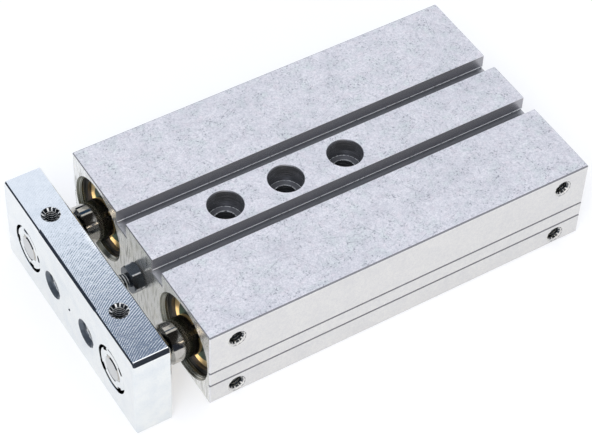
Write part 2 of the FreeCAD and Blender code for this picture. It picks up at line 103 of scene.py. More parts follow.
class FinishColours(bpy.types.PropertyGroup):
    """Colours of the finishes."""

    anodised: tint("Anodised aluminium", "Top of the housing", "e8e6e9")
    # Painted light: the long sides are drawn a little darker and warmer than the top, for the light that
    # falls on them.
    side_light_tone: tint("Anodised sides", "Long sides of the housing", "dddcd8")
    anodised_dull: tint("Dull anodised patches", "Darker patches of the housing", "b4b5bc")
    anodised_rose: tint("Rose tint", "Faint warm tint of the housing", "e2d9dd")
    anodised_green: tint("Green tint", "Faint cool tint of the housing", "d6e0dc")
    # Painted shade: the slot walls are drawn darker than the skin; the same colour gives the paler rings and
    # floors in the mounting holes.
    recess_shade: tint("Slot walls", "Walls of the sensor slots", "a6a6aa")
    # Painted shade: the walls of the mounting holes are drawn darker still.
    deep_hole_shade: tint("Hole walls", "Walls of the mounting holes", "6a6b6e")
    # Painted shade: the housing's broken edges and fine lines are drawn darker, as the dark reflections they
    # show.
    edge_shade: tint("Long edges", "Rounded edges and fine lines of the housing", "a2a2a6")
    anodised_speck: tint("Specks", "Specks and scratches on the housing", "85868f")
    # Bare metal of the sawn faces; also the painted highlights and painted light on slot lips, slot ends,
    # hole edges, the yoke's near end and the stop screw.
    bare_metal_and_highlight: tint("Worn metal", "Sawn faces, and worn edges of all metals", "f4f4f2")
    # Painted shade inside the bores and their mouths; also the colour of the deep scratches on the sawn
    # faces.
    bore_shade_and_scratch: tint("Bore walls", "Oily walls and mouths of the bores", "7c7d72")
    cut_aluminium: tint("Cut aluminium", "Bores and turned pieces", "f4f4ee")
    cut_shade: tint("Cut aluminium marks", "Tool marks in cut aluminium", "b4b59f")
    zinc: tint("Zinc plating", "Yoke plate and nuts", "eaecea")
    # Painted reflection: the top of the yoke plate is drawn bluer, for the sky it mirrors.
    zinc_top_sky_reflection: tint("Zinc on milled faces", "Top of the yoke plate", "e4ecf7")
    zinc_shade: tint("Zinc marks", "Milling lines on the yoke plate", "b4c2d2")
    # Painted shade in the gap round each rod nut.
    nut_gap_shade: tint("Nut gaps", "Dirt in the gap round each rod nut", "1e2126")
    thread_shade: tint("Threads", "Valleys of the inner threads", "4a4f56")
    chrome: tint("Hard chrome", "Piston rods", "b6b3ad")
    rod_end: tint("Rod ends", "End faces of the rods", "d0d1d0")
    brass: tint("Brass", "Bearing caps", "fadca0")
    bronze: tint("Sintered bronze", "Rod bushings", "9c7446")
    spring_steel: tint("Phosphated spring steel", "Circlips", "2a2a2d")
    oiled_steel: tint("Oiled steel", "Passage plugs", "80838a")
    black_oxide: tint("Black oxide", "Stop screw", "666d76")
    polyurethane: tint("Polyurethane", "Rod seals and cushion rings", "2f4a38")
    nitrile: tint("Nitrile rubber", "O-rings and piston seals", "1b1b1c")
    guide_polymer: tint("Filled polymer", "Guide rings", "5a5148")
    magnet: tint("Bonded magnet", "Magnet rings", "2e2e31")
    floor: tint("Floor", "Pale studio floor", "bcbcbc")
    sky: tint("Sky", "Cool light from above", "eff4ff")
    lamp: tint("Lamp", "Warm light beside the long side and into the bores", "fff1de")
    curtain: tint("Curtain", "Dark cloth that the metal mirrors", "2c3340")
    blue_flag: tint("Blue flag", "Cloth that the yoke's top mirrors", "345a7e")
    brown_flag: tint("Brown flag", "Cloth that the rods mirror", "2a2826")


class ThreadSizes(bpy.types.PropertyGroup):
    """Sizes of the visible threads."""

    m5_pitch: number("M5 pitch", "Distance from crest to crest", 0.8 * MM, "LENGTH")
    m8_pitch: number("M8 pitch", "Distance from crest to crest", 1.25 * MM, "LENGTH")
    inner_relief: number("Inner relief", "How far a tapped hole's crests stand in", 0.16 * MM, "LENGTH")
    outer_relief: number("Outer relief", "How deep the stop screw's thread is cut", 0.42 * MM, "LENGTH")


class StudioSettings(bpy.types.PropertyGroup):
    """Camera and light."""

    camera_place: bpy.props.FloatVectorProperty(
        name="Camera place", description="Where the photo was taken from", subtype="TRANSLATION",
        unit="LENGTH", default=(218.7 * MM, 337.1 * MM, 465.4 * MM))
    camera_turn: bpy.props.FloatVectorProperty(
        name="Camera turn", description="Camera rotation", subtype="EULER", unit="ROTATION",
        default=tuple(math.radians(angle) for angle in (41.513, -1.660, 148.421)))
    lens: number("Lens", "Focal length on a 36 mm wide sensor, in millimetres", 126.33)
    dome: number("Dome light", "Even light from all round, where 1 is white", 1.0)
    fill_power: number("Fill light", "Watts of the soft light beside the long side", 3.5)
    front_power: number("Front light", "Watts of the soft light above the yoke", 3.0)
    bore_power: number("Bore lights", "Watts of the beam into each bore's mouth", 0.0013)
    floor_lift: number("Floor lift", "Extra glow that takes the floor to white", 0.5)


# Building blocks of the materials
NOISE_ROUGHNESS = 0.6
# A face looks along an axis where its normal's part there is over this.
FLAT_LIMIT = 0.95
# A face stands upright where the Z part of its normal is under this.
UPRIGHT_LIMIT = 0.2
# Numbers of the colour sockets on a Mix node, where many sockets share a name.
MIX_FIRST = 6
MIX_SECOND = 7
MIX_RESULT = 2


def feed(tree, node, inputs):
    """Give each named input a value, a colour, which gets full alpha, or another node's output."""
    for name, source in inputs.items():
        socket = node.inputs[name]
        if isinstance(source, bpy.types.NodeSocket):
            tree.links.new(source, socket)
        elif socket.type == "RGBA":
            socket.default_value = (*source, 1.0)
        else:
            socket.default_value = source


def add_node(tree, kind, inputs, out=0, **settings):
    """Add a node, such as Math, with its inputs and settings, and give the output asked for."""
    node = tree.nodes.new("ShaderNode" + kind)
    for name, value in settings.items():
        setattr(node, name, value)
    feed(tree, node, inputs)
    return node.outputs[out]


def coordinate(tree, axis, kind="Object"):
    """One part of the surface point's place, in metres, or of its normal."""
    vector = add_node(tree, "TexCoord", {}, kind)
    return add_node(tree, "SeparateXYZ", {"Vector": vector}, axis)


def all_of(tree, first, *others):
    """1 where all masks are 1, 0 where one is 0."""
    for mask in others:
        first = add_node(tree, "Math", {0: first, 1: mask}, operation="MULTIPLY")
    return first


def any_of(tree, first, *others):
    """1 where a mask is 1, 0 where all are 0."""
    for mask in others:
        first = add_node(tree, "Math", {0: first, 1: mask}, operation="MAXIMUM")
    return first


def painted(tree, colour, *layers):
    """Lay colours over a first one. Each layer is a share from 0 to 1 and a colour."""
    for share, over in layers:
        colour = add_node(tree, "Mix", {0: share, MIX_FIRST: colour, MIX_SECOND: over}, MIX_RESULT,
                          data_type="RGBA")
    return colour


def shaded(colour, share):
    """A darker colour, with the given share of each channel."""
    return tuple(channel * share for channel in colour)


def new_material(name):
    """A material and its node tree."""
    material = bpy.data.materials.new(name)
    material.use_nodes = True
    return material, material.node_tree


def coat(tree, colour, metallic, roughness, relief=None, depth=0.0):
    """Feed a material's shader, and let a pattern stand out from the surface by a depth in metres."""
    inputs = {"Base Color": colour, "Metallic": metallic, "Roughness": roughness}
    if relief is not None:
        inputs["Normal"] = add_node(tree, "Bump", {"Distance": depth, "Height": relief})
    feed(tree, tree.nodes["Principled BSDF"], inputs)


def mottle(tree, size, limits, share=1.0, detail=2.0, turn=0.0):
    """Random patches of one size in metres, or of three along X, Y and Z, turned about Z.

    The result is 0 where the noise is under the first limit, and the full share over the second.
    """
    cell = size if isinstance(size, tuple) else (size, size, size)
    place = add_node(tree, "TexCoord", {}, "Object")
    point = add_node(tree, "Mapping", {"Vector": place, "Scale": cell, "Rotation": (0, 0, turn)},
                     vector_type="TEXTURE")
    noise = add_node(tree, "TexNoise",
                     {"Vector": point, "Scale": 1.0, "Detail": detail, "Roughness": NOISE_ROUGHNESS})
    low, high = limits
    return add_node(tree, "MapRange", {"Value": noise, "From Min": low, "From Max": high, "To Max": share})


def axis_distance(tree, node="piston_rod_left"):
    """How far the surface point is, in metres, from the axis of a round node or of its twin."""
    axis = middle(node)
    across = add_node(tree, "Math", {0: coordinate(tree, "Y")}, operation="ABSOLUTE")
    point = add_node(tree, "CombineXYZ", {"Y": across, "Z": coordinate(tree, "Z")})
    return add_node(tree, "VectorMath", {0: point, 1: (0, axis.y, axis.z)}, "Value",
                    operation="DISTANCE")


def hole_distance(tree):
    """How far the surface point is from the axis of the nearest mounting hole, in metres."""
    pitch = mount("outer_holes")["dims"]["spacing_x_mm"] / 2 * MM
    along_row = add_node(tree, "Math", {0: coordinate(tree, "X"), 1: -pitch / 2, 2: pitch / 2},
                         operation="WRAP")
    point = add_node(tree, "CombineXYZ", {"X": along_row, "Y": coordinate(tree, "Y")})
    return add_node(tree, "VectorMath", {0: point}, "Value", operation="LENGTH")


def faces_along(tree, axis):
    """1 on flat faces that look along the named axis, either way, else 0."""
    size = add_node(tree, "Math", {0: coordinate(tree, axis, "Normal")}, operation="ABSOLUTE")
    return add_node(tree, "Math", {0: size, 1: FLAT_LIMIT}, operation="GREATER_THAN")


def slanted_faces(tree):
    """1 on rounded and broken edges of a piece's top and base, and in fine lines along it, else 0."""
    rise = add_node(tree, "Math", {0: coordinate(tree, "Z", "Normal")}, operation="ABSOLUTE")
    upright = add_node(tree, "Math", {0: rise, 1: UPRIGHT_LIMIT}, operation="LESS_THAN")
    straight = any_of(tree, upright, *[faces_along(tree, axis) for axis in "XYZ"])
    return add_node(tree, "Math", {0: straight, 1: 0.5}, operation="LESS_THAN")


# Anodised housing
# How far bare metal, with its painted shade, reaches from the axis of a bore or a mounting hole.
BORE_SKIN_RADIUS = 13.7 * MM
HOLE_SKIN_RADIUS = 5.7 * MM
# The slots and mounting holes lie this close to the middle, and this far inside the outer faces.
SLOT_OUTER_EDGE = 13.6 * MM
FACE_SKIN = 0.1 * MM
# Depths of a slot's lip and a counterbore's floor under the top.
SLOT_LIP = 4.6 * MM
HEAD_ROOM = 6.5 * MM
# Half widths of painted highlights: on a counterbore's floor, at its wall, and on a slot's lip.
GLINT_WIDTH = 0.14 * MM
WALL_GLINT = 0.6 * MM
LIP_GLINT = 0.2 * MM
# Painted light: the floors of the slots grow paler towards the sawn ends.
SLOT_END_LENGTH = 2.5 * MM
SLOT_END_SHARE = 0.4
SAWN_SKIN = 0.5 * MM
# Hair scratches on the top: which way they run, in degrees, and their length.
SCRATCHES = ((24, 8 * MM), (71, 5 * MM), (118, 9 * MM), (160, 4 * MM))
HAIR_WIDTH = 0.28 * MM
HAIR_DEPTH = 2 * MM
# Patches show this much on the sides, where 1 is the top.
SIDE_PATCHES = 0.45
# The anodic layer hides most of the metal; edges, slots and cut faces show more of it.
SKIN_METAL = 0.2
EDGE_METAL = 0.5
SLOT_METAL = 0.72
SAWN_METAL = 0.8
BORE_METAL = 1.0
SATIN = 0.45
SMOOTH = 0.27


def anodised_skin(tree, colours):
    """Colour of the anodised skin: soft patches, faint tints, and specks and hair scratches on the top."""
    sides = faces_along(tree, "Y")
    top = faces_along(tree, "Z")
    strength = add_node(tree, "MapRange", {"Value": top, "To Min": SIDE_PATCHES})
    rose = mottle(tree, 2.6 * MM, (0.5, 0.75), share=0.7)
    green = mottle(tree, 3.9 * MM, (0.5, 0.75), share=0.7)
    blotches = all_of(tree, mottle(tree, 8 * MM, (0.4, 0.7), share=0.3), strength)
    patches = all_of(tree, mottle(tree, 1.0 * MM, (0.36, 0.72), share=0.5), strength)
    # The real speckle is finer, and is drawn coarser so that it shows.
    speckle = all_of(tree, mottle(tree, 0.45 * MM, (0.4, 0.72), share=0.65, detail=3.0), strength)
    clusters = all_of(tree, mottle(tree, 4 * MM, (0.42, 0.6)), top)
    specks = all_of(tree, mottle(tree, 0.5 * MM, (0.6, 0.68), share=0.8, detail=1.0), clusters)
    dull = colours.anodised_dull
    # The sides get their painted light tone.
    colour = painted(tree, colours.anodised, (rose, colours.anodised_rose), (green, colours.anodised_green),
                     (sides, colours.side_light_tone), (blotches, dull), (patches, dull), (speckle, dull),
                     (specks, colours.anodised_speck))
    for degrees, length in SCRATCHES:
        hairs = mottle(tree, (length, HAIR_WIDTH, HAIR_DEPTH), (0.79, 0.82), share=0.35, detail=0.0,
                       turn=math.radians(degrees))
        colour = painted(tree, colour, (all_of(tree, hairs, top), colours.anodised_speck))
    return colour


def sawn_marks(tree, colours):
    """Colour of the sawn faces: pale metal with close lines, some stain and upright scratches that cut
    further in.
    """
    lines = mottle(tree, (3 * MM, 9 * MM, 0.22 * MM), (0.4, 0.75), share=0.12)
    stains = mottle(tree, (3 * MM, 1.8 * MM, 5 * MM), (0.5, 0.7), share=0.45, detail=3.0)
    scratches = mottle(tree, (3 * MM, 0.35 * MM, 7 * MM), (0.58, 0.66), share=0.75, detail=1.0)
    return painted(tree, colours.bare_metal_and_highlight, (lines, colours.cut_shade), (stains, colours.cut_shade),
                   (scratches, colours.bore_shade_and_scratch))


def boring_marks(tree, colours):
    """Colour of the bores: painted shade on the walls, with bright rings from the tool."""
    rings = mottle(tree, (0.3 * MM, 60 * MM, 60 * MM), (0.52, 0.66), share=0.8)
    return painted(tree, colours.bore_shade_and_scratch, (rings, colours.cut_aluminium))


def drilling_marks(tree, colours):
    """Colour of the mounting holes: painted shade on the walls, with faint rings from the drill, and floors
    painted lighter, where more light falls.
    """
    rings = mottle(tree, (9 * MM, 9 * MM, 0.4 * MM), (0.45, 0.75), share=0.7)
    floor = faces_along(tree, "Z")
    lighter = colours.recess_shade
    return painted(tree, colours.deep_hole_shade, (rings, lighter), (floor, lighter))


def slot_and_hole_walls(tree):
    """1 inside the two slots and the mounting holes, else 0."""
    low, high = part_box("housing")
    across = add_node(tree, "Math", {0: coordinate(tree, "Y")}, operation="ABSOLUTE")
    inside = add_node(tree, "Math", {0: across, 1: SLOT_OUTER_EDGE}, operation="LESS_THAN")
    height = coordinate(tree, "Z")
    over_base = add_node(tree, "Math", {0: height, 1: low.z + FACE_SKIN}, operation="GREATER_THAN")
    under_top = add_node(tree, "Math", {0: height, 1: high.z - FACE_SKIN}, operation="LESS_THAN")
    return all_of(tree, inside, over_base, under_top)


def lengthwise(tree):
    """How far the surface point is from the middle of the housing's length, in metres."""
    offset = add_node(tree, "Math", {0: coordinate(tree, "X"), 1: middle("housing").x}, operation="SUBTRACT")
    return add_node(tree, "Math", {0: offset}, operation="ABSOLUTE")


def sawn_ends(tree):
    """1 on the two end faces of the housing, else 0."""
    start = half_length("housing") - SAWN_SKIN
    outer = add_node(tree, "Math", {0: lengthwise(tree), 1: start}, operation="GREATER_THAN")
    return all_of(tree, outer, faces_along(tree, "X"))


def slot_ends(tree):
    """Share of painted light on the floors of the slots close to the sawn ends."""
    end = half_length("housing")
    outer = add_node(tree, "MapRange", {"Value": lengthwise(tree), "From Min": end - SLOT_END_LENGTH,
                                       "From Max": end, "To Max": SLOT_END_SHARE})
    return all_of(tree, outer, faces_along(tree, "Z"))


def slot_glints_and_light(tree, from_hole):
    """Share of painted highlight on the lips of the slots, and of painted light on their floors near the
    ends.
    """
    lip_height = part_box("housing")[1].z - SLOT_LIP + LIP_GLINT
    at_lip = add_node(tree, "Math", {0: coordinate(tree, "Z"), 1: lip_height, 2: LIP_GLINT},
                      operation="COMPARE")
    in_slot = add_node(tree, "Math", {0: from_hole, 1: HOLE_SKIN_RADIUS}, operation="GREATER_THAN")
    lip = all_of(tree, at_lip, in_slot, faces_along(tree, "Y"))
    broken = mottle(tree, 0.9 * MM, (0.25, 0.45))
    return all_of(tree, any_of(tree, lip, slot_ends(tree)), broken)


def hole_edge_glints(tree, from_hole):
    """Share of painted highlight on both edges of the floor in each mounting hole."""
    floor_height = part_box("housing")[1].z - HEAD_ROOM
    hole_radius = mount("middle_hole")["dims"]["r_mm"] * MM
    at_floor = add_node(tree, "Math", {0: coordinate(tree, "Z"), 1: floor_height, 2: GLINT_WIDTH},
                        operation="COMPARE")
    rim = add_node(tree, "Math", {0: from_hole, 1: hole_radius, 2: 2 * GLINT_WIDTH}, operation="COMPARE")
    wall = add_node(tree, "Math", {0: from_hole, 1: HOLE_SKIN_RADIUS, 2: WALL_GLINT}, operation="COMPARE")
    broken = mottle(tree, 0.6 * MM, (0.35, 0.65), share=0.8)
    return all_of(tree, at_floor, any_of(tree, rim, wall), broken)


def anodised_aluminium(colours):
    """Clear anodised aluminium, sawn and bored bare: satin skin, smoother slots and bright cut faces."""
    material, tree = new_material("anodised_aluminium")
    # The bores get painted shade.
    in_bore = add_node(tree, "Math", {0: axis_distance(tree), 1: BORE_SKIN_RADIUS}, operation="LESS_THAN")
    from_hole = hole_distance(tree)
    in_hole = add_node(tree, "Math", {0: from_hole, 1: HOLE_SKIN_RADIUS}, operation="LESS_THAN")
    sawn = sawn_ends(tree)
    bare = any_of(tree, sawn, in_bore)
    # Slot and hole walls get painted shade, darker than the skin.
    inner = slot_and_hole_walls(tree)
    # Painted highlights on the slot lips and counterbore edges, and painted light on the slot floors near the
    # ends.
    glinting = all_of(tree, inner, any_of(tree, slot_glints_and_light(tree, from_hole), hole_edge_glints(tree, from_hole)))
    # Broken edges and fine lines get painted shade.
    edge = slanted_faces(tree)
    hole_wall = all_of(tree, inner, in_hole)
    colour = painted(tree, anodised_skin(tree, colours), (edge, colours.edge_shade),
                     (inner, colours.recess_shade), (hole_wall, drilling_marks(tree, colours)),
                     (glinting, colours.bare_metal_and_highlight), (in_bore, boring_marks(tree, colours)),
                     (sawn, sawn_marks(tree, colours)))
    skin_metal = add_node(tree, "MapRange", {"Value": edge, "To Min": SKIN_METAL, "To Max": EDGE_METAL})
    metal = add_node(tree, "MapRange", {"Value": inner, "To Min": skin_metal, "To Max": SLOT_METAL})
    metal = add_node(tree, "Math", {0: metal, 1: glinting}, operation="SUBTRACT", use_clamp=True)
    cut_metal = add_node(tree, "MapRange", {"Value": sawn, "To Min": BORE_METAL, "To Max": SAWN_METAL})
    metal = add_node(tree, "MapRange", {"Value": bare, "To Min": metal, "To Max": cut_metal})
    smooth = any_of(tree, edge, inner, bare)
    roughness = add_node(tree, "MapRange", {"Value": smooth, "To Min": SATIN, "To Max": SMOOTH})
    tooth = mottle(tree, 0.5 * MM, (0.0, 1.0))
    coat(tree, colour, metal, roughness, relief=tooth, depth=0.008 * MM)
    return material


# Turned and milled metals
RING_WIDTH = 0.3 * MM
RING_DEPTH = 0.004 * MM
RING_SHARE = 0.6
# The face mill: its radius, where its axis runs from the plate's middle, and its feed for each turn.
MILL_RADIUS = 40 * MM
MILL_OFFSET = -22 * MM
MILL_FEED = 0.8 * MM
# Share of the arcs at the far end, from where they grow towards the near end as a painted darker reflection,
# and share of their colour.
ARC_SHARE_AT_FAR_END = 0.25
MILL_SHARE = 0.5
# The gap round a rod nut, and how far under the yoke's front its painted shade begins.
NUT_GAP_RADIUS = 7.15 * MM
NUT_GAP_WIDTH = 0.9 * MM
NUT_GAP_TOP = 0.15 * MM
# Painted highlight: the yoke's top is drawn white along the chamfer of its near end.
YOKE_END_CHAMFER = 1.0 * MM
END_HIGHLIGHT_WIDTH = 0.35 * MM
ZINC_METAL = 0.88
CHROME_POLISH = 0.1
ROD_END_ROUGHNESS = 0.4


def turned_finish(name, colour, shade, metallic, roughness):
    """A turned metal: fine random rings round the bore axis, between two colours."""
    material, tree = new_material(name)
    turns = add_node(tree, "Math", {0: axis_distance(tree), 1: RING_WIDTH}, operation="DIVIDE")
    noise = add_node(tree, "TexNoise", {"W": turns, "Scale": 1.0, "Detail": 2.0},
                     noise_dimensions="1D")
    rings = add_node(tree, "MapRange", {"Value": noise, "From Min": 0.3, "From Max": 0.7})
    share = add_node(tree, "MapRange", {"Value": rings, "To Max": RING_SHARE})
    mixed = painted(tree, colour, (share, shade))
    coat(tree, mixed, metallic, roughness, relief=rings, depth=RING_DEPTH)
    return material


def cut_aluminium(colours):
    """Turned and tapped aluminium: bright, with fine rings from the tool."""
    return turned_finish("cut_aluminium", colours.cut_aluminium, colours.cut_shade,
                         metallic=1.0, roughness=0.26)


def turned_brass(colours):
    """Turned brass under a thin dull film: warm and half bright, with fine rings from the tool."""
    return turned_finish("turned_brass", colours.brass, shaded(colours.brass, 0.75),
                         metallic=0.3, roughness=0.34)


def milling_arcs(tree):
    """Arcs left by a face mill, from 0 to 1. It ran along Y, behind the plate's middle. The arcs grow
    stronger towards the near end, which paints the darker reflection there.
    """
    low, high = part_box("yoke_plate")
    axis_x = middle("yoke_plate").x + MILL_OFFSET
    offset = add_node(tree, "Math", {0: coordinate(tree, "X"), 1: axis_x}, operation="SUBTRACT")
    squared = add_node(tree, "Math", {0: offset, 1: 2.0}, operation="POWER")
    rest = add_node(tree, "Math", {0: MILL_RADIUS ** 2, 1: squared}, operation="SUBTRACT")
    sweep = add_node(tree, "Math", {0: rest}, operation="SQRT")
    travel = add_node(tree, "Math", {0: coordinate(tree, "Y"), 1: sweep}, operation="ADD")
    feeds = add_node(tree, "Math", {0: travel, 1: MILL_FEED}, operation="DIVIDE")
    phase = add_node(tree, "Math", {0: feeds, 1: 2 * math.pi}, operation="MULTIPLY")
    wave = add_node(tree, "Math", {0: phase}, operation="SINE")
    ridges = add_node(tree, "MapRange", {"Value": wave, "From Min": -1.0})
    uneven = mottle(tree, 1.5 * MM, (0.3, 0.65))
    stronger_near_end = add_node(tree, "MapRange", {"Value": coordinate(tree, "Y"), "From Min": low.y,
                                        "From Max": high.y / 2, "To Min": ARC_SHARE_AT_FAR_END})
    return all_of(tree, ridges, uneven, stronger_near_end)


def nut_gap_shade(tree):
    """1 in the narrow gap round each rod nut, under the yoke's front face, where shade is painted, else 0."""
    near_rim = add_node(tree, "Math", {0: axis_distance(tree), 1: NUT_GAP_RADIUS, 2: NUT_GAP_WIDTH / 2},
                        operation="COMPARE")
    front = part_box("yoke_plate")[1].x - NUT_GAP_TOP
    sunk = add_node(tree, "Math", {0: coordinate(tree, "X"), 1: front}, operation="LESS_THAN")
    return all_of(tree, near_rim, sunk)


def zinc_plated_steel(colours):
    """Milled steel with zinc plating: a soft mirror, with arcs from the face mill on its top, which is drawn
    bluer as a painted sky reflection.
    """
    material, tree = new_material("zinc_plated_steel")
    top = faces_along(tree, "Z")
    arcs = all_of(tree, milling_arcs(tree), top)
    arc_share = add_node(tree, "Math", {0: arcs, 1: MILL_SHARE}, operation="MULTIPLY")
    cloudy = mottle(tree, 6 * MM, (0.4, 0.75), share=0.25, detail=3.0)
    fine = mottle(tree, 0.5 * MM, (0.4, 0.75), share=0.15)
    # Painted highlight along the chamfer of the near end.
    near_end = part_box("yoke_plate")[1].y - YOKE_END_CHAMFER - END_HIGHLIGHT_WIDTH
    at_end = add_node(tree, "Math", {0: coordinate(tree, "Y"), 1: near_end}, operation="GREATER_THAN")
    painted_highlight = all_of(tree, at_end, top)
    shade = colours.zinc_shade
    # Painted light: a bluer sky reflection on the top, shade in the nut gaps and a highlight along the near
    # end.
    colour = painted(tree, colours.zinc, (top, colours.zinc_top_sky_reflection), (arc_share, shade), (cloudy, shade),
                     (fine, shade), (nut_gap_shade(tree), colours.nut_gap_shade), (painted_highlight, colours.bare_metal_and_highlight))
    metal = add_node(tree, "MapRange", {"Value": slanted_faces(tree), "To Min": ZINC_METAL, "To Max": 1.0})
    metal = add_node(tree, "Math", {0: metal, 1: painted_highlight}, operation="SUBTRACT", use_clamp=True)
    grit = mottle(tree, 0.4 * MM, (0.35, 0.65), share=0.25)
    grain = add_node(tree, "Math", {0: arcs, 1: grit}, operation="ADD")
    coat(tree, colour, metal, roughness=0.13, relief=grain, depth=0.018 * MM)
    return material


def hard_chromed_steel(colours):
    """Ground and polished chrome: a clear mirror with fine grinding marks, and bare turned ends."""
    material, tree = new_material("hard_chromed_steel")
    grinding = mottle(tree, (0.3 * MM, 2 * MM, 2 * MM), (0.4, 0.75), share=0.3)
    ends = faces_along(tree, "X")
    colour = painted(tree, colours.chrome, (grinding, shaded(colours.chrome, 0.6)), (ends, colours.rod_end))
    roughness = add_node(tree, "MapRange",
                         {"Value": ends, "To Min": CHROME_POLISH, "To Max": ROD_END_ROUGHNESS})
    coat(tree, colour, metallic=1.0, roughness=roughness)
    return material


# Stop screw
STOP_HEAD_LENGTH = 3.5 * MM
STOP_THREAD_RADIUS = 2.5 * MM
STOP_TIP_CHAMFER = 0.6 * MM
HEXAGON_EDGE_BREAK = 0.5 * MM
HEXAGON_EDGE_STEPS = 4
# Painted highlights: the black gives way to bright metal between these distances from the axis, on corners
# and on crests.
HIGHLIGHT_CORNERS = (4.42 * MM, 4.58 * MM)
HIGHLIGHT_CRESTS = (2.2 * MM, 2.4 * MM)
HIGHLIGHT_METAL = 0.3


def black_oxide_steel(colours):
    """Steel blackened in a hot bath: nearly black, with painted highlights on corners and crests."""
    material, tree = new_material("black_oxide_steel")
    distance = axis_distance(tree, "stop_screw")
    corners, crests = [add_node(tree, "MapRange", {"Value": distance, "From Min": start, "From Max": end})
                       for start, end in (HIGHLIGHT_CORNERS, HIGHLIGHT_CRESTS)]
    head_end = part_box("stop_screw")[0].x + STOP_HEAD_LENGTH + FACE_SKIN
    past_head = add_node(tree, "Math", {0: coordinate(tree, "X"), 1: head_end}, operation="GREATER_THAN")
    bright = any_of(tree, corners, all_of(tree, crests, past_head))
    painted_highlight = all_of(tree, bright, mottle(tree, 0.8 * MM, (0.3, 0.5)))
    stain = mottle(tree, 0.7 * MM, (0.4, 0.7), share=0.5)
    colour = painted(tree, colours.black_oxide, (stain, shaded(colours.black_oxide, 0.5)),
                     (painted_highlight, colours.bare_metal_and_highlight))
    metal = add_node(tree, "MapRange", {"Value": painted_highlight, "To Min": 1.0, "To Max": HIGHLIGHT_METAL})
    coat(tree, colour, metal, roughness=0.24)
    return material


# Even finishes
GRAIN_SHADE = 0.72


def even_finish(name, colour, roughness, metallic=0.0, grain=0.4 * MM, depth=0.006 * MM):
    """A finish of one colour with an even grain of the given size and depth in metres."""
    material, tree = new_material(name)
    share = mottle(tree, grain, (0.35, 0.75), detail=3.0)
    mixed = painted(tree, colour, (share, shaded(colour, GRAIN_SHADE)))
    coat(tree, mixed, metallic, roughness, relief=share, depth=depth)
    return material


def sintered_bronze(colours):
    """Sintered bronze: dull and porous, dark with oil."""
    return even_finish("sintered_bronze", colours.bronze, roughness=0.5, metallic=0.9, grain=0.3 * MM,
                       depth=0.02 * MM)


def phosphated_spring_steel(colours):
    """Phosphated spring steel: nearly black and slightly oily."""
    return even_finish("phosphated_spring_steel", colours.spring_steel, roughness=0.4, metallic=0.6,
                       grain=0.3 * MM, depth=0.008 * MM)


def oiled_steel(colours):
    """Plain steel with a film of oil: grey with soft highlights."""
    return even_finish("oiled_steel", colours.oiled_steel, roughness=0.28, metallic=1.0, grain=0.6 * MM)


def countersunk_aluminium(colours):
    """Countersinks in the housing's side: cut aluminium dulled to the side tone of the skin, which is painted
    light.
    """
    return even_finish("countersunk_aluminium", colours.side_light_tone, roughness=0.45, metallic=0.2,
                       depth=0.01 * MM)


def countersunk_zinc(colours):
    """Countersinks and thread crests in the yoke: zinc over a torn cut, duller than the plate, drawn light as
    their painted highlights.
    """
    return even_finish("countersunk_zinc", colours.zinc, roughness=0.35, metallic=0.2, depth=0.01 * MM)


def shaded_thread_lining(colours):
    """Inside of a tapped hole: painted shade, so dark that only its crests, in a lighter finish, stand out.
    """
    return even_finish("shaded_thread_lining", colours.thread_shade, roughness=0.3, metallic=1.0, depth=0.004 * MM)


def shaded_zinc_thread(colours):
    """Mouths and valleys of the yoke's wide threads: zinc in painted shade, lighter than the lining of the
    narrow holes.
    """
    return even_finish("shaded_zinc_thread", shaded(colours.zinc_shade, 0.22), roughness=0.35, metallic=0.5,
                       grain=0.9 * MM)


def moulded_polyurethane(colours):
    """Moulded polyurethane: dark green, smooth and slightly waxy."""
    return even_finish("moulded_polyurethane", colours.polyurethane, roughness=0.42, grain=0.8 * MM,
                       depth=0.004 * MM)


def moulded_nitrile(colours):
    """Moulded nitrile rubber: black and matt."""
    return even_finish("moulded_nitrile", colours.nitrile, roughness=0.6)


def filled_polymer(colours):
    """Filled guide polymer: brownish and matt."""
    return even_finish("filled_polymer", colours.guide_polymer, roughness=0.55)


def bonded_magnet(colours):
    """Plastic-bonded magnet: dark grey and fine grained."""
    return even_finish("bonded_magnet", colours.magnet, roughness=0.5, metallic=0.2, grain=0.3 * MM,
                       depth=0.008 * MM)


def dress(material, *nodes):
    """Give CAD nodes a finish."""
    for name in nodes:
        mesh = frame["nodes"][name].data
        mesh.materials.clear()
        mesh.materials.append(material)


# Mesh building
SHARP_ANGLE = math.radians(28)
# Steps round every ring, eight for each chatter mark.
ROUND_STEPS = 96
ROWS_PER_TURN = 10
# Flanks are this much steeper than on a pointed thread, which leaves flat crests and valleys.
FLANK_GAIN = 1.5


def skin(rings, closed):
    """Join rings of equal length by quads. A closed skin ends at its first ring, an open one gets caps."""
    count = len(rings[0])
    points = [point for ring_points in rings for point in ring_points]
    faces = []
    steps = len(rings) if closed else len(rings) - 1
    for row in range(steps):
        here = row * count
        there = (row + 1) % len(rings) * count
        for column in range(count):
            after = (column + 1) % count
            faces.append((here + column, here + after, there + after, there + column))
    if not closed:
        faces.append(tuple(reversed(range(count))))
        faces.append(tuple(range((len(rings) - 1) * count, len(rings) * count)))
    return points, faces


def add_mesh(name, points, faces, material):
    """A mesh object with one material, linked to the scene."""
    mesh = bpy.data.meshes.new(name)
    mesh.from_pydata(points, [], faces)
    mesh.materials.append(material)
    piece = bpy.data.objects.new(name, mesh)
    bpy.context.scene.collection.objects.link(piece)
    return piece


def new_piece(name, rings, closed, place, material, body):
    """Make a named piece from rings of points, put it in place and let it ride on a body."""
    points, faces = skin(rings, closed)
    piece = add_mesh(name, [place @ point for point in points], faces, material)
    piece.data.validate()
    piece.data.shade_smooth()
    piece.data.set_sharp_from_angle(angle=SHARP_ANGLE)
    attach(piece, body)
    return piece


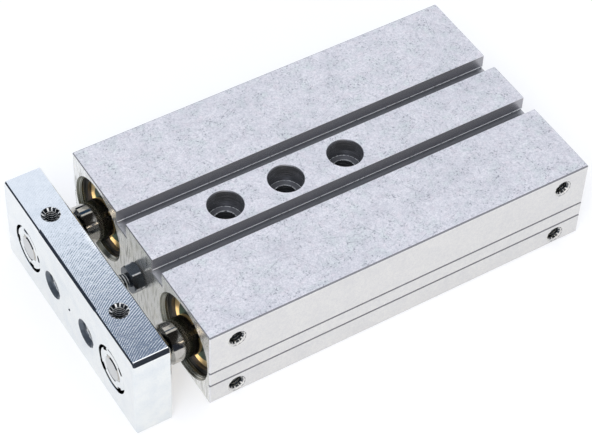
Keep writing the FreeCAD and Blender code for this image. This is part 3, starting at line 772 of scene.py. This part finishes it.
def ring(height, radius_at):
    """Points round the Z axis at one height; radius_at gives the radius for each angle."""
    points = []
    for step in range(ROUND_STEPS):
        angle = 2 * math.pi * step / ROUND_STEPS
        radius = radius_at(angle)
        points.append(Vector((radius * math.cos(angle), radius * math.sin(angle), height)))
    return points


def thread_height(angle, height, pitch):
    """How far up the thread's flank a point is, from 0 in the valley to 1 on the crest."""
    phase = (height / pitch - angle / (2 * math.pi)) % 1.0
    flank = 1.0 - abs(2.0 * phase - 1.0)
    return min(1.0, max(0.0, flank * FLANK_GAIN - (FLANK_GAIN - 1.0) / 2))


def threaded_rings(length, root, relief, pitch):
    """Rings along an outer thread, which runs out over one pitch at both ends."""
    rows = round(length / pitch * ROWS_PER_TURN)
    rings = []
    for row in range(rows + 1):
        height = length * row / rows
        fade = relief * min(1.0, height / pitch, (length - height) / pitch)
        rings.append(ring(height, lambda a, h=height, f=fade: root + f * thread_height(a, h, pitch)))
    return rings


def hexagon_rings(length, flats):
    """Rings of a hexagonal head, its corners turned down by a cone at both ends."""
    corner = flats / math.sqrt(3)
    edge = HEXAGON_EDGE_BREAK

    def flat_radius(angle):
        turn = (angle + math.pi / 6) % (math.pi / 3) - math.pi / 6
        return flats / 2 / math.cos(turn - math.copysign(math.pi / 6, turn))

    shares = [step / HEXAGON_EDGE_STEPS for step in range(HEXAGON_EDGE_STEPS + 1)]
    ends = [(share * edge, corner - edge + share * edge) for share in shares]
    ends += [(length - share * edge, corner - edge + share * edge) for share in reversed(shares)]
    return [ring(height, lambda a, limit=limit: min(flat_radius(a), limit)) for height, limit in ends]


def along(axis):
    """A rotation that turns +Z to the given axis."""
    return Vector(axis).to_track_quat("Z", "Y").to_matrix().to_4x4()


# Tapped holes
M5_COUNTERSINK = 0.75 * MM
M8_COUNTERSINK = 1.1 * MM
YOKE_TOP_THREAD_LENGTH = 9 * MM
YOKE_FRONT_THREAD_LENGTH = 8.5 * MM
# How far a thread's sleeve sits in the wall, stands out of it, and starts below the mouth.
SEAT_IN_WALL = 0.03 * MM
LINING = 0.03 * MM
MOUTH_STEP = 0.02 * MM
CHATTER_MARKS = 12
CHATTER_DEPTH = 0.2 * MM
# The ticks grow and shrink this many times round a hole, about this share of their full width.
UNEVEN_MARKS = 5
UNEVEN_MEAN = 0.65
# A face counts as crest from this height up its flank.
CREST_SHARE = 0.75

Thread = namedtuple("Thread", "core countersink length pitch relief")


def pattern_points(name):
    """The hole centres of a row of two holes, low end first."""
    found = mount(name)
    across = [i for i in range(3) if not round(found["axis"][i])]
    key = "spacing_x_mm" if "spacing_x_mm" in found["dims"] else "spacing_y_mm"
    row = across[0] if key == "spacing_x_mm" else across[1]
    points = []
    for sign in (-0.5, 0.5):
        point = Vector(found["pos_m"])
        point[row] += sign * found["dims"][key] * MM
        points.append(point)
    return points


def tapped_rings(thread):
    """Rings along a tapped hole: the thread starts in the countersink, whose cone has chatter marks."""
    core, countersink, length, pitch, relief = thread
    rows = round(length / pitch * ROWS_PER_TURN)
    rings = []
    for row in range(rows + 1):
        height = MOUTH_STEP + (length - MOUTH_STEP) * row / rows
        cone = max(0.0, countersink - height)
        crest = relief * min(1.0, height / countersink, (length - height) / pitch)
        chatter = CHATTER_DEPTH * cone / countersink

        def radius(angle, height=height, cone=cone, crest=crest, chatter=chatter):
            ripple = 0.5 - 0.5 * math.cos(CHATTER_MARKS * angle)
            return core + cone - LINING - crest * thread_height(angle, height, pitch) - chatter * ripple

        rings.append(ring(height, radius))
    return rings


def tapped_hole(name, mouth, outwards, thread, finishes, rim, ticks, body):
    """Line a hole and its countersink with a threaded sleeve. The mouth is on the outer face.

    The finishes are for the painted highlights on the cone, the painted highlights on the crests, and the
    painted shade in the valleys and the rest of the cone. The rim is the share of the cone's depth that is
    painted light all round, and the ticks are the painted light share below it.
    """
    inside = tapped_rings(thread)
    wall = thread.core + SEAT_IN_WALL
    mouth_wall = wall + thread.countersink - MOUTH_STEP
    outline = ((thread.length, wall), (thread.countersink, wall), (MOUTH_STEP, mouth_wall))
    outside = [ring(height, lambda a, r=radius: r) for height, radius in outline]
    place = Matrix.Translation(mouth) @ along([-c for c in outwards])
    piece = new_piece(name, inside + outside, True, place, finishes[0], body)
    for finish in finishes[1:]:
        piece.data.materials.append(finish)
    cone_rows = math.ceil(thread.countersink / thread.length * len(inside))
    # Painted light and shade: crests and ticks round the cone get the light finishes, valleys and the rest of
    # the cone the shaded one.
    for face in piece.data.polygons:
        row, column = divmod(face.index, ROUND_STEPS)
        height = thread.length * (row + 0.5) / len(inside)
        turn = (column + 0.5) / ROUND_STEPS
        if row < cone_rows:
            uneven = UNEVEN_MEAN + (1 - UNEVEN_MEAN) * math.cos(2 * math.pi * turn * UNEVEN_MARKS)
            light = row < cone_rows * rim or turn * CHATTER_MARKS % 1.0 < ticks * uneven
            face.material_index = 0 if light else 2
        else:
            on_crest = thread_height(2 * math.pi * turn, height, thread.pitch) > CREST_SHARE
            face.material_index = 1 if on_crest else 2


def yoke_threads(face, outwards, thread, finishes, ticks):
    """Line the two tapped holes in one face of the yoke, which looks along a main axis."""
    axis = outwards.index(1)
    for side, mouth in zip(reversed(SIDES), pattern_points(f"yoke_{face}_threads")):
        mouth[axis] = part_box("yoke_plate")[1][axis]
        tapped_hole(f"yoke_{face}_thread_{side}", mouth, outwards, thread, finishes, rim=0.0, ticks=ticks,
                    body="carriage")


# Operators
class CYLINDER_OT_housing(bpy.types.Operator):
    """Finish the housing and its plugs"""

    bl_idname = "cylinder.housing"
    bl_label = "Housing"

    def execute(self, context):
        colours = context.scene.cylinder_colours
        dress(anodised_aluminium(colours), "housing")
        dress(oiled_steel(colours), "passage_plugs")
        return {"FINISHED"}


class CYLINDER_OT_side_threads(bpy.types.Operator):
    """Line the four tapped holes in the housing's long side"""

    bl_idname = "cylinder.side_threads"
    bl_label = "Side threads"

    def execute(self, context):
        sizes = context.scene.cylinder_threads
        colours = context.scene.cylinder_colours
        # The light cone and crests are painted highlights; the thread lining is painted shade.
        finishes = (countersunk_aluminium(colours), cut_aluminium(colours), shaded_thread_lining(colours))
        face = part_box("housing")[1].y
        places = {f"port_thread_{end}": mount(f"port_{end}")["pos_m"] for end in ("rear", "front")}
        places["side_thread_rear"], places["side_thread_front"] = pattern_points("side_threads")
        port = mount("port_front")["dims"]
        thread = Thread(port["r_mm"] * MM, M5_COUNTERSINK, port["length_mm"] * MM + M5_COUNTERSINK,
                        sizes.m5_pitch, sizes.inner_relief)
        for name, point in places.items():
            mouth = Vector((point[0], face, point[2]))
            tapped_hole(name, mouth, (0, 1, 0), thread, finishes, rim=0.45, ticks=0.4,
                        body="cylinder")
        return {"FINISHED"}


class CYLINDER_OT_bore_ends(bpy.types.Operator):
    """Finish the caps, circlips, seals, bushings and cushions at both ends of the bores"""

    bl_idname = "cylinder.bore_ends"
    bl_label = "Bore ends"

    def execute(self, context):
        colours = context.scene.cylinder_colours
        dress(turned_brass(colours), *both("bearing_cap"))
        dress(sintered_bronze(colours), *both("rod_bushing"))
        dress(cut_aluminium(colours), *both("rear_cap"))
        dress(phosphated_spring_steel(colours), *both("front_circlip"), *both("rear_circlip"))
        dress(moulded_polyurethane(colours), *both("rod_seal"), *both("front_cushion"), *both("rear_cushion"))
        dress(moulded_nitrile(colours), *both("front_o_ring"), *both("rear_o_ring"))
        return {"FINISHED"}


class CYLINDER_OT_pistons(bpy.types.Operator):
    """Finish the pistons, their rings and nuts, and the rods"""

    bl_idname = "cylinder.pistons"
    bl_label = "Pistons and rods"

    def execute(self, context):
        colours = context.scene.cylinder_colours
        dress(cut_aluminium(colours), *both("piston"))
        dress(moulded_nitrile(colours), *both("piston_seals"))
        dress(filled_polymer(colours), *both("piston_guide_ring"))
        dress(bonded_magnet(colours), *both("piston_magnet"))
        dress(zinc_plated_steel(colours), *both("piston_nut"))
        dress(hard_chromed_steel(colours), *both("piston_rod"))
        return {"FINISHED"}


class CYLINDER_OT_yoke(bpy.types.Operator):
    """Finish the yoke plate and its nuts, and line its tapped holes"""

    bl_idname = "cylinder.yoke"
    bl_label = "Yoke plate"

    def execute(self, context):
        sizes = context.scene.cylinder_threads
        colours = context.scene.cylinder_colours
        dress(zinc_plated_steel(colours), "yoke_plate", *both("rod_end_washer"))
        # The crest finish gives painted highlights on crests and cone ticks; valley and plated give painted
        # shade.
        crest = countersunk_zinc(colours)
        valley = shaded_thread_lining(colours)
        plated = shaded_zinc_thread(colours)
        m5 = Thread(mount("yoke_top_threads")["dims"]["hole_r_mm"] * MM, M5_COUNTERSINK,
                    YOKE_TOP_THREAD_LENGTH, sizes.m5_pitch, sizes.inner_relief)
        m8 = Thread(mount("yoke_front_threads")["dims"]["hole_r_mm"] * MM, M8_COUNTERSINK,
                    YOKE_FRONT_THREAD_LENGTH, sizes.m8_pitch, sizes.inner_relief)
        yoke_threads("top", (0, 0, 1), m5, (crest, crest, valley), ticks=0.4)
        yoke_threads("front", (1, 0, 0), m8, (plated, crest, plated), ticks=0.0)
        return {"FINISHED"}


class CYLINDER_OT_stop_screw(bpy.types.Operator):
    """Make the stop screw with its turned hexagon head and cut thread, and finish its lock nut"""

    bl_idname = "cylinder.stop_screw"
    bl_label = "Stop screw"

    def execute(self, context):
        colours = context.scene.cylinder_colours
        sizes = context.scene.cylinder_threads
        material = black_oxide_steel(colours)
        low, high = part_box("stop_screw")
        length = high.x - low.x
        rings = hexagon_rings(STOP_HEAD_LENGTH, high.y - low.y)
        root = STOP_THREAD_RADIUS - sizes.outer_relief
        thread_length = length - STOP_HEAD_LENGTH - STOP_TIP_CHAMFER
        for points in threaded_rings(thread_length, root, sizes.outer_relief, sizes.m5_pitch):
            rings.append([point + Vector((0, 0, STOP_HEAD_LENGTH)) for point in points])
        tip = STOP_THREAD_RADIUS - STOP_TIP_CHAMFER
        rings.append(ring(length, lambda a: tip))
        axis = middle("stop_screw")
        place = Matrix.Translation((low.x, axis.y, axis.z)) @ along((1, 0, 0))
        screw = new_piece("stop_screw_threaded", rings, False, place, material, "stop_screw")
        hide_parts("stop_screw")
        dress(zinc_plated_steel(colours), "stop_lock_nut")
        return {"FINISHED"}


# Studio
WHITE = (1.0, 1.0, 1.0)
SENSOR_WIDTH_MM = 36.0
# The curtain stands round the origin, and is lower between two angles.
CURTAIN_RADIUS = 1.0
CURTAIN_HEIGHT = 1.0
CURTAIN_LOW_HEIGHT = 0.35
CURTAIN_LOW_FROM = math.radians(180)
CURTAIN_LOW_TO = math.radians(290)
CURTAIN_FOLDS = 36
# Floor and flags are level sheets: half their length along X, and two places along Y.
FLOOR_REACH = 3.0
FLOOR_SPAN = (-3.0, 3.0)
FLAG_HEIGHT = 0.6
FLAG_REACH = 0.8
BLUE_FLAG = (-0.408, -0.23)
BROWN_FLAG = (-0.12, 0.8)
FILL_PLACE = (0.3, 1.0, 0.4)
FILL_SIZE = 0.5
FRONT_PLACE = (0.45, 0.48, 0.75)
FRONT_SIZE = 0.4
# Each beam comes from this way, over the yoke, as an ellipse that lies across the bore's mouth.
BEAM_FROM = (0.38, 0.54, 0.75)
BEAM_LENGTH = 0.15
BEAM_SIZE = (0.018, 0.005)
BEAM_SPREAD = math.radians(1)


def seen_or_mirrored(tree):
    """1 for rays from the camera, a mirror or glass, else 0."""
    kinds = ("Is Camera Ray", "Is Glossy Ray", "Is Transmission Ray")
    return any_of(tree, *[add_node(tree, "LightPath", {}, kind) for kind in kinds])


def studio_floor(colour, lift):
    """Pale matt floor. A little extra glow for the camera takes it to white but keeps the shadow."""
    material, tree = new_material("studio_floor")
    glow = add_node(tree, "Math", {0: seen_or_mirrored(tree), 1: lift}, operation="MULTIPLY")
    coat(tree, colour, metallic=0.0, roughness=0.9)
    feed(tree, tree.nodes["Principled BSDF"], {"Emission Color": WHITE, "Emission Strength": glow})
    return material


def dark_cloth(name, colour):
    """Dark matt cloth."""
    material, tree = new_material(name)
    coat(tree, colour, metallic=0.0, roughness=1.0)
    return material


def dome(sky, strength):
    """Even, slightly cool light from all round, white to the camera and to mirrors."""
    world = bpy.data.worlds.new("studio_dome")
    world.use_nodes = True
    tree = world.node_tree
    seen = seen_or_mirrored(tree)
    level = add_node(tree, "MapRange", {"Value": seen, "To Min": strength, "To Max": 1.0})
    feed(tree, tree.nodes["Background"], {"Strength": level, "Color": painted(tree, sky, (seen, WHITE))})
    bpy.context.scene.world = world


def stage_piece(name, points, faces, material):
    """A mesh for the studio, added to the scene like any other mesh."""
    piece = add_mesh(name, points, faces, material)
    return piece


def sheet(name, reach, span, height, material):
    """A level sheet of the studio, between two places along Y."""
    corners = [(-reach, span[0]), (reach, span[0]), (reach, span[1]), (-reach, span[1])]
    return stage_piece(name, [(*corner, height) for corner in corners], [(0, 1, 2, 3)], material)


def only_mirrored(piece):
    """Show a studio piece to mirrors only, so that it takes no light from the object."""
    for ray in ("camera", "diffuse", "shadow", "transmission"):
        setattr(piece, f"visible_{ray}", False)


def curtain(material):
    """Dark cloth hung all round, lower on the far side, which is white above it."""
    points = []
    for fold in range(CURTAIN_FOLDS + 1):
        angle = 2 * math.pi * fold / CURTAIN_FOLDS
        low_part = CURTAIN_LOW_FROM <= angle <= CURTAIN_LOW_TO
        foot = (CURTAIN_RADIUS * math.cos(angle), CURTAIN_RADIUS * math.sin(angle))
        points += [(*foot, 0.0), (*foot, CURTAIN_LOW_HEIGHT if low_part else CURTAIN_HEIGHT)]
    faces = [(2 * fold, 2 * fold + 2, 2 * fold + 3, 2 * fold + 1) for fold in range(CURTAIN_FOLDS)]
    only_mirrored(stage_piece("curtain", points, faces, material))


def flag(tone, span, colour):
    """A cloth overhead that only mirrors show."""
    cloth = dark_cloth(f"{tone}_cloth", colour)
    only_mirrored(sheet(f"{tone}_flag", FLAG_REACH, span, FLAG_HEIGHT, cloth))


def area_light(name, shape, size, power, colour):
    """An area light, not yet put in place."""
    light = bpy.data.lights.new(name, "AREA")
    light.shape = shape
    light.size = size
    light.energy = power
    light.color = colour
    lamp = bpy.data.objects.new(name, light)
    bpy.context.scene.collection.objects.link(lamp)
    return lamp


def soft_light(name, place, size, power, colour):
    """A square soft light that faces the origin."""
    lamp = area_light(name, "SQUARE", size, power, colour)
    lamp.location = place
    lamp.rotation_euler = (-Vector(place)).to_track_quat("-Z", "Y").to_euler()


def bore_light(side, power, colour):
    """A narrow beam past the yoke that fills the outline of one bore's mouth."""
    lamp = area_light(f"bore_light_{side}", "ELLIPSE", BEAM_SIZE[0], power, colour)
    lamp.data.size_y = BEAM_SIZE[1]
    lamp.data.spread = BEAM_SPREAD
    axis = middle(f"bearing_cap_{side}")
    mouth = Vector((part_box("housing")[1].x, axis.y, axis.z))
    back = Vector(BEAM_FROM).normalized()
    across = back.cross(Vector((1, 0, 0))).normalized()
    turn = Matrix((across, back.cross(across), back)).transposed()
    lamp.matrix_world = Matrix.Translation(mouth + back * BEAM_LENGTH) @ turn.to_4x4()


def camera(scene, studio):
    """The camera, where the photo was taken from."""
    view = bpy.data.cameras.new("camera")
    view.sensor_width = SENSOR_WIDTH_MM
    view.lens = studio.lens
    eye = bpy.data.objects.new("camera", view)
    eye.location = studio.camera_place
    eye.rotation_euler = studio.camera_turn
    scene.collection.objects.link(eye)
    scene.camera = eye


class CYLINDER_OT_stage(bpy.types.Operator):
    """Set the floor, the light and the camera"""

    bl_idname = "cylinder.stage"
    bl_label = "Studio"

    def execute(self, context):
        scene = context.scene
        studio = scene.cylinder_studio
        colours = scene.cylinder_colours
        sheet("floor", FLOOR_REACH, FLOOR_SPAN, 0.0, studio_floor(colours.floor, studio.floor_lift))
        curtain(dark_cloth("curtain_cloth", colours.curtain))
        flag("blue", BLUE_FLAG, colours.blue_flag)
        flag("brown", BROWN_FLAG, colours.brown_flag)
        dome(colours.sky, studio.dome)
        soft_light("fill", FILL_PLACE, FILL_SIZE, studio.fill_power, colours.lamp)
        soft_light("front", FRONT_PLACE, FRONT_SIZE, studio.front_power, colours.sky)
        for side in SIDES:
            bore_light(side, studio.bore_power, colours.lamp)
        camera(scene, studio)
        scene.view_settings.view_transform = "Standard"
        return {"FINISHED"}


# Sidebar and registration
GROUPS = {
    "cylinder_colours": FinishColours,
    "cylinder_threads": ThreadSizes,
    "cylinder_studio": StudioSettings,
}
OPERATORS = (
    CYLINDER_OT_housing,
    CYLINDER_OT_side_threads,
    CYLINDER_OT_bore_ends,
    CYLINDER_OT_pistons,
    CYLINDER_OT_yoke,
    CYLINDER_OT_stop_screw,
    CYLINDER_OT_stage,
)


class CYLINDER_PT_sidebar(bpy.types.Panel):
    """Lists the pieces, their colours and the studio"""

    bl_idname = "CYLINDER_PT_sidebar"
    bl_label = "Twin piston cylinder"
    bl_space_type = "VIEW_3D"
    bl_region_type = "UI"
    bl_category = "Cylinder"

    def draw(self, context):
        layout = self.layout
        for operator in OPERATORS:
            layout.operator(operator.bl_idname)
        for group_name in GROUPS:
            group = getattr(context.scene, group_name)
            box = layout.box()
            for name in group.__annotations__:
                box.prop(group, name)


CLASSES = (*GROUPS.values(), *OPERATORS, CYLINDER_PT_sidebar)


def register():
    for cls in CLASSES:
        bpy.utils.register_class(cls)
    for name, group in GROUPS.items():
        setattr(bpy.types.Scene, name, bpy.props.PointerProperty(type=group))


def unregister():
    for name in GROUPS:
        delattr(bpy.types.Scene, name)
    for cls in reversed(CLASSES):
        bpy.utils.unregister_class(cls)


def main():
    """Register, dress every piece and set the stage."""
    register()
    bpy.ops.cylinder.housing()
    bpy.ops.cylinder.side_threads()
    bpy.ops.cylinder.bore_ends()
    bpy.ops.cylinder.pistons()
    bpy.ops.cylinder.yoke()
    bpy.ops.cylinder.stop_screw()
    bpy.ops.cylinder.stage()


if __name__ == "__main__":
    main()
